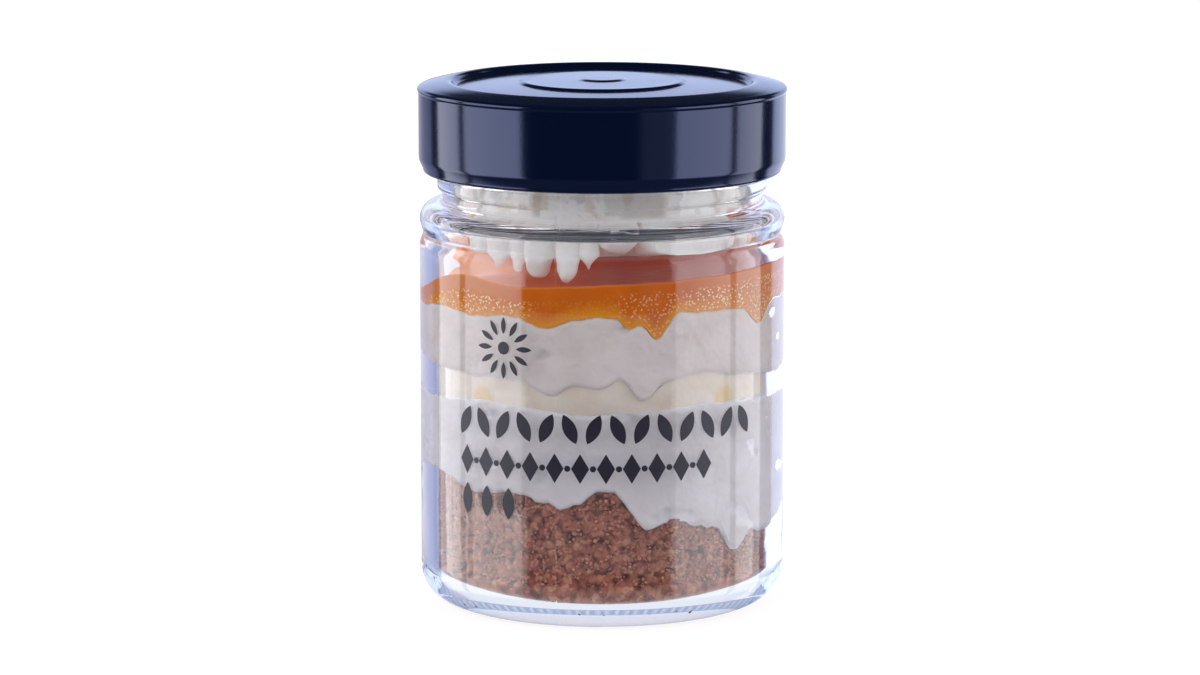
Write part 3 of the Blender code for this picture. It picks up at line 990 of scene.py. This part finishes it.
def clear_label(film, edge):
    """A thin clear film that follows the glass round the front, with a visible cut edge.

    No face of the cut edge is as large as CUT_EDGE_AREA, in square millimetres.
    """
    inner = BODY_RADIUS + LABEL_GAP
    outer = inner + LABEL_FILM
    outline = [(inner, LABEL_LOW), (outer, LABEL_LOW), (outer, LABEL_HIGH), (inner, LABEL_HIGH)]
    mesh = bmesh.new()
    corners = [mesh.verts.new(at_azimuth(LABEL_LEFT, *corner)) for corner in outline]
    bmesh.ops.spin(
        mesh,
        geom=[mesh.faces.new(corners)],
        cent=(0, 0, 0),
        axis=(0, 0, 1),
        angle=math.radians(LABEL_RIGHT - LABEL_LEFT),
        steps=LABEL_STEPS,
    )
    for face in mesh.faces:
        on_a_side = LABEL_LOW + 0.1 < face.calc_center_median().z < LABEL_HIGH - 0.1
        on_film = on_a_side and face.calc_area() > CUT_EDGE_AREA
        face.material_index = int(not on_film)
    return piece("label_film", mesh, [film, edge])


def leaf(mesh, across, up, width, height, tilt):
    """A pointed leaf on the flat sheet that is later wrapped round the glass."""
    half = []
    for i in range(11):
        t = i / 10
        half.append((0.5 * width * math.sin(math.pi * t) ** 0.8, height * (t - 0.5)))
    outline = half + [(-x, y) for x, y in reversed(half[1:-1])]
    stamped(mesh, outline, across, up, tilt)


def disc(mesh, across, up, radius, sides=20):
    turns = [math.tau * i / sides for i in range(sides)]
    outline = [(radius * math.cos(turn), radius * math.sin(turn)) for turn in turns]
    stamped(mesh, outline, across, up, 0.0)


def lozenge(mesh, across, up, width, height):
    outline = [(0.0, -height / 2), (width / 2, 0.0), (0.0, height / 2), (-width / 2, 0.0)]
    stamped(mesh, outline, across, up, 0.0)


def stamped(mesh, outline, across, up, tilt):
    """Adds one flat shape, fanned from its middle so that it can bend."""
    turn = Matrix.Rotation(math.radians(tilt), 2)
    corners = [mesh.verts.new((*(turn @ Vector(p)), 0.0)) for p in outline]
    for corner in corners:
        corner.co += Vector((across, up, 0.0))
    face = mesh.faces.new(corners)
    bmesh.ops.poke(mesh, faces=[face])


def label_print(material):
    """Plain leaves, lozenges and a seed rosette in dark ink."""
    mesh = bmesh.new()
    arc_length = math.radians(1.0) * (BODY_RADIUS + LABEL_GAP)
    left = PRINT_LEFT * arc_length
    for i in range(LEAVES):
        tilt = LEAF_TILT if i % 2 else -LEAF_TILT
        leaf(mesh, left + 1.6 + 4.75 * i, LEAF_LEVEL, *LEAF_SIZE, tilt)
    for i in range(LOZENGES):
        lozenge(mesh, left + 1.9 + 5.1 * i, LOZENGE_LEVEL, *LOZENGE_SIZE)
        if i < LOZENGES - 1:
            disc(mesh, left + 1.9 + 5.1 * (i + 0.5), LOZENGE_LEVEL, SEED_RADIUS)
    for i in range(LOW_LEAVES):
        leaf(mesh, left + 2.0 + 5.2 * i, LOW_LEAF_LEVEL, *LEAF_SIZE, 0)
    centre = ROSETTE_AZIMUTH * arc_length
    for i in range(PETALS):
        angle = math.tau * i / PETALS
        across = centre + ROSETTE_RADIUS * math.sin(angle)
        up = ROSETTE_LEVEL + ROSETTE_RADIUS * math.cos(angle)
        leaf(mesh, across, up, *PETAL_SIZE, -math.degrees(angle))
    disc(mesh, centre, ROSETTE_LEVEL, 1.3)
    bmesh.ops.recalc_face_normals(mesh, faces=mesh.faces)
    solid = bmesh.ops.extrude_face_region(mesh, geom=mesh.faces[:])
    for part in solid["geom"]:
        if isinstance(part, bmesh.types.BMVert):
            part.co.z += INK_THICKNESS
    base = BODY_RADIUS + LABEL_GAP + LABEL_FILM + 0.01
    for vertex in mesh.verts:
        azimuth = vertex.co.x / arc_length
        vertex.co = at_azimuth(azimuth, base + vertex.co.z, vertex.co.y)
    return piece("label_print", mesh, [material])


def boundary(level, azimuth, share):
    """Height of a layer boundary. share is 0 at the middle of the jar and 1 at the wall."""
    wall = level["wall"] + level["lean"] * math.sin(math.radians(azimuth))
    for centre, rise, width in level["dips"]:
        wall += rise * math.exp(-((swing(azimuth, centre) / width) ** 2))
    spot = at_azimuth(azimuth, INNER_RADIUS, level["wall"] * 3.0)
    wall += level["ragged"] * (noise.noise(spot / 2.6) + 0.6 * noise.noise(spot / 1.1))
    return level["middle"] + (wall - level["middle"]) * share**WALL_CLIMB


def curd_surface(azimuth, share):
    """The curd's top: nearly level, ruffled, and drawn up where it wets the glass."""
    spot = at_azimuth(azimuth, INNER_RADIUS * share, 0.0)
    ruffle = 0.25 * noise.noise(spot / 7.0)
    climb = MENISCUS * math.exp(-(1.0 - share) * INNER_RADIUS / 0.8)
    return boundary(CURD_TOP, azimuth, share) + ruffle + climb - MENISCUS


def filling(name, material, lower, upper, reach, columns, rows, tags=()):
    """One layer of the filling.

    lower and upper give a face's height from azimuth and share. reach gives the radius
    from azimuth, height, and the distances to the lower and upper faces. tags are
    attributes: (name, function of the same four values and of the share of the radius).
    """
    rings = (0.0, 0.3, 0.55, 0.75, 0.86, 0.9, 0.93, 0.955, 0.975, 0.99, 1.0)
    outline = [(share, 0.0) for share in rings]
    outline += [(1.0, i / rows) for i in range(1, rows)]
    outline += [(share, 1.0) for share in reversed(rings)]
    mesh = spun(outline, columns)
    layers = [(mesh.verts.layers.float.new(tag), rule) for tag, rule in tags]
    for vertex in mesh.verts:
        share = min(1.0, radius_of(vertex.co))
        azimuth = azimuth_of(vertex.co) if share > 1e-4 else 0.0
        low = lower(azimuth, share)
        high = upper(azimuth, share)
        height = low + (high - low) * vertex.co.z
        where = (azimuth, height, height - low, high - height)
        radius = reach(*where) * share
        for layer, rule in layers:
            vertex[layer] = rule(*where, share)
        vertex.co = at_azimuth(azimuth, radius, height)
    return piece(name, mesh, [material])


def rounded_lip(above_low, below_high):
    """How far a layer's edge turns away from the glass, near its lower and upper ends."""
    low = max(0.0, 1.0 - above_low / 0.9)
    high = max(0.0, 1.0 - below_high / 0.7)
    return 0.55 * low * low + 0.3 * high * high


def hollows(azimuth, height, size, amount, seed):
    """Depth of the shallow places where cream doesn't quite touch the glass."""
    spot = at_azimuth(azimuth, INNER_RADIUS, height) / size
    spot.z = spot.z * 1.5 + seed
    lump = noise.noise(spot) + 0.35 * noise.noise(spot * 2.7)
    return amount * soft_step(lump, 0.42, 0.7)


def cream_reach(seed):
    """The reach of a layer of cream, with hollows of its own."""

    def reach(azimuth, height, above_low, below_high):
        away = rounded_lip(above_low, below_high)
        away += hollows(azimuth, height, 7.5, 0.7, seed)
        return INNER_RADIUS + WALL_BITE - away

    return reach


def band_reach(azimuth, height, above_low, below_high):
    """The cheesecake lies a little unevenly behind the glass."""
    spot = at_azimuth(azimuth, INNER_RADIUS, height)
    return INNER_RADIUS - 0.55 + 0.5 * noise.noise(spot / 4.0)


def curd_reach(azimuth, height, above_low, below_high):
    return INNER_RADIUS + WALL_BITE


def off_the_floor(height):
    """0 at the glass floor and 1 above its corner, where the crumb stands off the wall."""
    corner_top = FLOOR_HEIGHT + FLOOR_CORNER
    return soft_step(height, corner_top - 1.5, corner_top + 1.5)


def crumb_cells(spot):
    """Distance from a point to the middle of the nearest crumb, near 0 on its crown."""
    return noise.voronoi(spot / 1.5)[0][0]


def crumb_reach(azimuth, height, above_low, below_high):
    """Lumps and separate crumbs, but smooth at the foot, where it follows the floor."""
    if above_low < 0.001:
        return INNER_RADIUS - CRUMB_SHY
    spot = at_azimuth(azimuth, INNER_RADIUS, height)
    away = 1.0 + 0.9 * crumb_cells(spot) ** 2 - 0.45 * noise.noise(spot / 3.4)
    return INNER_RADIUS - CRUMB_SHY - away * off_the_floor(height)


# How far a point lies between lumps. It sets the painted shade in the crumb's crevices.
def crumb_crevice_shade(azimuth, height, above_low, below_high, share):
    return crumb_cells(at_azimuth(azimuth, INNER_RADIUS, height))


def crumb_floor(azimuth, share):
    return floor_level(INNER_RADIUS * share) + CRUMB_SHY


def curd_froth(azimuth, height, above_low, below_high, share):
    """Foam lies against the glass on both sides, and hardly at all in the middle."""
    sides = max(soft_step(-azimuth, 20.0, 30.0), soft_step(azimuth, 24.0, 32.0))
    sides = max(sides, 0.45 * soft_step(azimuth, 2.0, 8.0), 0.08)
    start = 2.6 if azimuth < 0.0 else 1.8
    return sides * soft_step(below_high, start, start + 0.6) * soft_step(above_low, 0.0, 0.6)


def curd_smear(azimuth, height, above_low, below_high, share):
    """On the left the curd's upper edge is a thin pinkish smear on the glass."""
    aside = soft_step(-azimuth, 26.0, 32.0)
    streak = 0.5 + 0.5 * noise.noise(Vector((azimuth / 20.0, height * 1.6, 3.0)))
    return aside * (1.0 - soft_step(below_high, 2.4, 3.0)) * (0.5 + 0.5 * streak)


def at_level(level):
    return lambda azimuth, share: boundary(level, azimuth, share)


def layers(finishes):
    """The five layers from the glass floor up to the curd's surface."""
    crumb_top = at_level(CRUMB_TOP)
    lower_top = at_level(LOWER_CREAM_TOP)
    band_top = at_level(BAND_TOP)
    upper_top = at_level(UPPER_CREAM_TOP)
    crumb_tags = [("crack", crumb_crevice_shade)]
    curd_tags = [
        ("depth", lambda azimuth, height, above, below, share: above),
        ("upward", lambda azimuth, height, above, below, share: float(below < 0.01)),
        ("sunk", lambda azimuth, height, above, below, share: below),
        ("froth", curd_froth),
        ("smear", curd_smear),
    ]
    plans = {
        "crumb_bed": ("biscuit_crumb", crumb_floor, crumb_top, crumb_reach, 560, 64, crumb_tags),
        "lower_cream_fill": ("lower_cream", crumb_top, lower_top, cream_reach(3.0), 360, 40),
        "cheesecake_fill": ("cheesecake", lower_top, band_top, band_reach, 360, 16),
        "upper_cream_fill": ("upper_cream", band_top, upper_top, cream_reach(11.0), 360, 32),
        "curd_fill": ("fruit_curd", upper_top, curd_surface, curd_reach, 360, 20, curd_tags),
    }
    return {name: filling(name, finishes[plan[0]], *plan[1:]) for name, plan in plans.items()}


def loose_grains(material):
    """Separate crumbs packed in clumps against the glass, with pockets between, where the grains
    are painted darker as shade.

    They are made in batches, because a shape is slow to add to a mesh that is large.
    """
    draw = random.Random(GRAIN_SEED)
    mesh = bmesh.new()
    mesh.verts.layers.float.new("tone")
    for _ in range(GRAIN_BATCHES):
        few = bmesh.new()
        tone = few.verts.layers.float.new("tone")
        for _ in range(BATCH_SIZE):
            add_grain(few, tone, draw)
        data = bpy.data.meshes.new("few_grains")
        few.to_mesh(data)
        few.free()
        mesh.from_mesh(data)
        bpy.data.meshes.remove(data)
    return piece("crumb_grains", mesh, [material])


def add_grain(mesh, tone, draw):
    """One angular crumb, lying near the glass at a place drawn at random."""
    azimuth = draw.uniform(-180.0, 180.0)
    size = 0.45 + 0.6 * draw.random() ** 1.6
    top = boundary(CRUMB_TOP, azimuth, 1.0)
    height = draw.uniform(FLOOR_HEIGHT + 0.5, top + 0.25)
    corner = max(0.0, FLOOR_HEIGHT + FLOOR_CORNER - height)
    wall = INNER_RADIUS - FLOOR_CORNER + math.sqrt(FLOOR_CORNER**2 - corner**2)
    spot = at_azimuth(azimuth, INNER_RADIUS, height)
    clump = noise.noise(spot / 2.1) + 0.5 * noise.noise(spot / 0.9)
    sunk = 1.5 * soft_step(0.15 - clump, 0.0, 0.6) * off_the_floor(height)
    sunk += draw.uniform(0.0, 0.25)
    middle = at_azimuth(azimuth, wall - 0.55 * size - CRUMB_SHY - sunk, height)
    turn = Matrix.Rotation(draw.uniform(0, math.tau), 4, draw_axis(draw))
    stretch = Matrix.Diagonal(
        (draw.uniform(0.75, 1.1), draw.uniform(0.75, 1.1), draw.uniform(0.7, 1.0), 1.0)
    )
    shape = Matrix.Translation(middle) @ turn @ stretch
    made = bmesh.ops.create_icosphere(mesh, subdivisions=1, radius=size / 2, matrix=shape)
    # The grain's own random tone, less a painted shade that deepens with how far it lies sunk.
    shade = min(1.0, max(0.0, draw.gauss(0.52, 0.18) - 0.3 * sunk))
    for vertex in made["verts"]:
        vertex.co = middle + (vertex.co - middle) * draw.uniform(0.78, 1.12)
        vertex[tone] = shade


def draw_axis(draw):
    """A random direction."""
    return Vector((draw.gauss(0, 1), draw.gauss(0, 1), draw.gauss(0, 1))).normalized()


def piped(name, shape, stages, sides, ridge_depth, scallop, turn):
    """One shape from a star nozzle: its outline spun, ridged, twisted and leaned over."""
    low, peak, radius = shape["low"], shape["peak"], shape["radius"]
    outline = [
        (radius * width, low + (peak - low) * rise) for width, rise in smooth_through(stages, 5)
    ]
    mesh = spun(outline, sides)
    for vertex in mesh.verts:
        point = vertex.co
        around = math.degrees(math.atan2(point.y, point.x))
        rise = (point.z - low) / (peak - low)
        compass = point.to_2d().normalized() * 1.6
        wobble = 3.0 * noise.noise(Vector((turn, rise * 3.0, 0.5)))
        wobble += 9.0 * noise.noise(Vector((compass.x, compass.y, turn)))
        phase = math.radians(RIDGES * (around + turn + RIDGE_TWIST * rise + wobble))
        crest = abs(math.cos(phase / 2.0))
        ridge = 1.0 + ridge_depth * (crest**0.8 - 0.6)
        across = shape["at"][0] + shape["lean"][0] * rise**2
        along = shape["at"][1] + shape["lean"][1] * rise**2
        lift = scallop * (1.0 - crest) * max(0.0, 1.0 - rise / 0.35)
        placed = Vector((across + point.x * ridge, along + point.y * ridge, point.z + lift))
        placed += 0.35 * noise.noise_vector(placed / 3.5)
        vertex.co = placed
    return piece(name, mesh, [])


def neck_plug():
    """The cream pressed into the neck, with an uneven lower edge and shallow hollows."""
    outline = [
        (0.0, PLUG_LOW + 0.6),
        (22.0, PLUG_LOW + 0.3),
        (27.0, PLUG_LOW - 0.1),
        (29.0, PLUG_LOW),
        (30.4, PLUG_LOW + 0.6),
        *[(PLUG_RADIUS, PLUG_LOW + 1.4 + 0.5 * i) for i in range(31)],
        (0.0, PLUG_LOW + 17.0),
    ]
    mesh = spun(outline, PLUG_SIDES)
    for vertex in mesh.verts:
        radius = radius_of(vertex.co)
        if radius < 1.0:
            continue
        spot = vertex.co / 6.5
        spot.z = spot.z * 1.6
        dent = 2.4 * soft_step(noise.noise(spot) + 0.3 * noise.noise(spot * 3.0), 0.22, 0.5)
        fade = 1.0 - soft_step(vertex.co.z, PLUG_LOW + 1.0, PLUG_LOW + 4.0)
        edge = Vector((vertex.co.x, vertex.co.y, 0.0)) / radius
        drop = 1.5 * noise.noise(edge * 4.0) + 0.8 * noise.noise(edge * 11.0)
        vertex.co = vertex.co - edge * dent * (radius / PLUG_RADIUS) ** 4
        vertex.co.z += drop * fade
    return piece("neck_plug", mesh, [])


def use_boolean(target, operation, other):
    """Joins or trims target with an object or a collection, which is then removed."""
    step = target.modifiers.new(operation.lower(), "BOOLEAN")
    step.operation = operation
    step.solver = "MANIFOLD"
    if isinstance(other, bpy.types.Collection):
        step.operand_type = "COLLECTION"
        step.collection = other
        used = list(other.objects)
    else:
        step.object = other
        used = [other]
    bpy.context.view_layer.objects.active = target
    bpy.ops.object.modifier_apply(modifier=step.name)
    for thing in used:
        bpy.data.objects.remove(thing)


def keep_outer_shell(data):
    """Drops the walls of pockets shut in between joined shapes."""
    mesh = bmesh.new()
    mesh.from_mesh(data)
    unseen = set(mesh.verts)
    shells = []
    while unseen:
        shell = [unseen.pop()]
        for vertex in shell:
            for edge in vertex.link_edges:
                other = edge.other_vert(vertex)
                if other in unseen:
                    unseen.remove(other)
                    shell.append(other)
        shells.append(shell)
    shells.sort(key=len)
    for shell in shells[:-1]:
        bmesh.ops.delete(mesh, geom=shell, context="VERTS")
    mesh.to_mesh(data)
    mesh.free()


def piped_cream(material):
    """Soft ridged dollops run together, pressed flat where they meet glass and curd."""
    scene = bpy.context.scene.collection
    rest = bpy.data.collections.new("dollops")
    scene.children.link(rest)
    shapes = []
    for number, (name, shape) in enumerate(DOLLOPS.items()):
        turn = 17.0 * number
        shapes.append(piped(name, shape, DOLLOP_STAGES, 144, RIDGE_DEPTH, SCALLOP, turn))
    for across, along, low, radius, stages in LOBES:
        lean = (across * LOBE_LEAN, along * LOBE_LEAN)
        place = {"at": (across, along), "lean": lean}
        shape = {"low": low, "radius": radius, "peak": LOBE_PEAK, **place}
        shapes.append(piped("lobe", shape, stages, 48, 0.0, 0.0, across))
    shapes.append(neck_plug())
    cream = shapes[0]
    for shape in shapes[1:]:
        scene.objects.unlink(shape)
        rest.objects.link(shape)
    use_boolean(cream, "UNION", rest)
    bpy.data.collections.remove(rest)
    space = filling(
        "headspace",
        material,
        lambda azimuth, share: curd_surface(azimuth, min(share, 0.93)) - 0.25,
        lambda azimuth, share: CREAM_CEILING,
        lambda azimuth, height, above, below: inside_radius(height) - NECK_SHY,
        180,
        40,
    )
    use_boolean(cream, "INTERSECT", space)
    keep_outer_shell(cream.data)
    cream.name = "piped_cream"
    cream.data.name = "piped_cream"
    cream.data.materials.clear()
    cream.data.materials.append(material)
    cream.data.shade_smooth()
    return cream


def floor(material):
    """The light table, which reflections and rays through the glass don't see."""
    mesh = bmesh.new()
    bmesh.ops.create_grid(mesh, x_segments=1, y_segments=1, size=FLOOR_HALF)
    made = piece("studio_floor", mesh, [material])
    made.visible_glossy = False
    made.visible_transmission = False


def glowing(red, green, blue):
    """A brightness in the studio, as a share of the world's strength."""
    return (red / GLOW, green / GLOW, blue / GLOW, 1.0)


def studio_light():
    """A low white backdrop, a tall soft panel on each side, and a dark camera side.

    Reflections see the panels with sharp edges. The soft light that falls on the food
    comes from the same sides, but is gentler, as from panels seen through a tent.
    """
    world = bpy.data.worlds.new("studio")
    world.use_nodes = True
    bpy.context.scene.world = world
    light = Nodes(world.node_tree)
    towards = light.add("ShaderNodeTexCoord", None, None, "Generated")
    x = light.along(towards, "X")
    y = light.along(towards, "Y")
    z = light.along(towards, "Z")
    azimuth = light.sum("ARCTAN2", x, 0.0 - y) * math.degrees(1.0)
    turned_away = light.absolute(azimuth)

    def between(start, end, soft=1.2):
        ended = light.step(azimuth, end - soft, end + soft)
        return light.step(azimuth, start - soft, start + soft) * (1.0 - ended)

    low = light.step(z, -0.5, -0.36)
    high = 1.0 - light.step(z, 0.42, 0.54)
    through = light.ray("Is Transmission Ray")
    dark = light.mix(through, glowing(0.03, 0.032, 0.04), glowing(0.25, 0.29, 0.38))
    under = light.mix(through, glowing(0.1, 0.11, 0.14), glowing(0.86, 0.9, 1.0))
    rightwards = light.step(azimuth, -20.0, 20.0)
    dusk = light.mix(rightwards, glowing(0.40, 0.44, 0.70), glowing(1.15, 1.25, 1.75))
    far = light.mix(rightwards, glowing(0.62, 0.60, 0.74), glowing(1.1, 1.15, 1.35))
    horizon = light.mix(light.step(turned_away, 148.0, 164.0), dusk, far)
    backdrop = light.mix(light.step(z, -0.03, 0.04), horizon, glowing(0.86, 1.02, 1.5))
    behind = light.step(turned_away, 132.0, 138.0) * (1.0 - light.step(z, 0.24, 0.36))
    left = (between(*LEFT_PANEL[0]) + between(*LEFT_PANEL[1])) * high
    right = (between(*RIGHT_PANEL[0]) + between(*RIGHT_PANEL[1])) * high
    colour = light.mix(behind, dark, backdrop)
    colour = light.mix(between(*HAZE, 3.0) * high, colour, glowing(0.23, 0.23, 0.25))
    colour = light.mix(left, colour, glowing(2.5, 2.5, 2.6))
    colour = light.mix(right, colour, glowing(2.2, 2.2, 2.3))
    colour = light.mix(low, under, colour)
    sharp = background(light, colour, GLOW)
    soft_left = 1.0 - light.step(azimuth, -70.0, -20.0)
    soft_right = light.step(azimuth, 20.0, 80.0)
    gentle = 0.44 + soft_left * 0.32 + soft_right * 0.3 + light.step(z, 0.3, 0.9) * 0.3
    soft = background(light, (1.0, 0.925, 0.945, 1.0), gentle)
    white = background(light, (1.0, 1.0, 1.0, 1.0), 1.0)
    lit = light.mix_shader(light.ray("Is Diffuse Ray"), sharp, soft)
    both = light.mix_shader(light.ray("Is Camera Ray"), lit, white)
    out = world.node_tree.nodes["World Output"]
    world.node_tree.links.new(both.socket, out.inputs["Surface"])


def background(light, colour, strength):
    return light.add("ShaderNodeBackground", None, {"Color": colour, "Strength": strength})


def camera():
    data = bpy.data.cameras.new("camera")
    data.lens = LENS
    made = bpy.data.objects.new("camera", data)
    bpy.context.scene.collection.objects.link(made)
    lift = math.radians(CAMERA_ELEVATION)
    back = Vector((0.0, -math.cos(lift), math.sin(lift))) * CAMERA_DISTANCE
    made.location = Vector(CAMERA_TARGET) + back
    made.rotation_euler = (math.radians(90.0) - lift, 0.0, 0.0)
    bpy.context.scene.camera = made


def light_paths():
    """Colours as they are, and room for rays to cross every wall of the glass."""
    scene = bpy.context.scene
    scene.view_settings.view_transform = "Standard"
    scene.cycles.max_bounces = 24
    scene.cycles.transmission_bounces = 20
    scene.cycles.glossy_bounces = 16
    scene.cycles.transparent_max_bounces = 24
    scene.cycles.caustics_reflective = False
    scene.cycles.caustics_refractive = False


def build():
    finishes = {
        "biscuit_crumb": biscuit_crumb(),
        "lower_cream": cream("lower_cream", rgb(238, 237, 243), rgb(229, 225, 231)),
        "upper_cream": cream("upper_cream", rgb(234, 226, 226), rgb(222, 213, 210)),
        # The piped cream gets a faint painted glow, and painted shade in the neck.
        "piped_cream": cream("piped_cream", rgb(252, 250, 248), rgb(238, 232, 230), 0.05, True),
        "cheesecake": cheesecake(),
        "fruit_curd": fruit_curd(),
    }
    camera()
    studio_light()
    light_paths()
    floor(light_table())
    pieces = layers(finishes)
    pieces["crumb_grains"] = loose_grains(crumb_grain())
    pieces["piped_cream"] = piped_cream(finishes["piped_cream"])
    pieces["jar_glass"] = glass_jar(clear_glass(), stippled_glass_painted_glow())
    pieces["lid_shell"] = screw_lid(navy_lacquer(), pale_lacquer())
    pieces["label_film"] = clear_label(label_film(), label_edge())
    pieces["label_print"] = label_print(printing_ink())
    stands_for = {
        "jar_glass": ("clear_glass", "glass_jar"),
        "lid_shell": ("navy_lacquer", "screw_lid"),
        "label_film": ("clear_film", "clear_label"),
        "label_print": ("clear_film", None),
        "crumb_bed": ("biscuit_crumb", "biscuit_crumb"),
        "crumb_grains": ("biscuit_crumb", None),
        "lower_cream_fill": ("white_cream", "lower_cream"),
        "cheesecake_fill": ("cheesecake", "cheesecake_band"),
        "upper_cream_fill": ("white_cream", "upper_cream"),
        "curd_fill": ("fruit_curd", "fruit_curd"),
        "piped_cream": ("white_cream", "whipped_cream"),
    }
    for name, made in pieces.items():
        slot, node = stands_for[name]
        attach(made, "root")
        if node:
            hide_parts(node)


build()
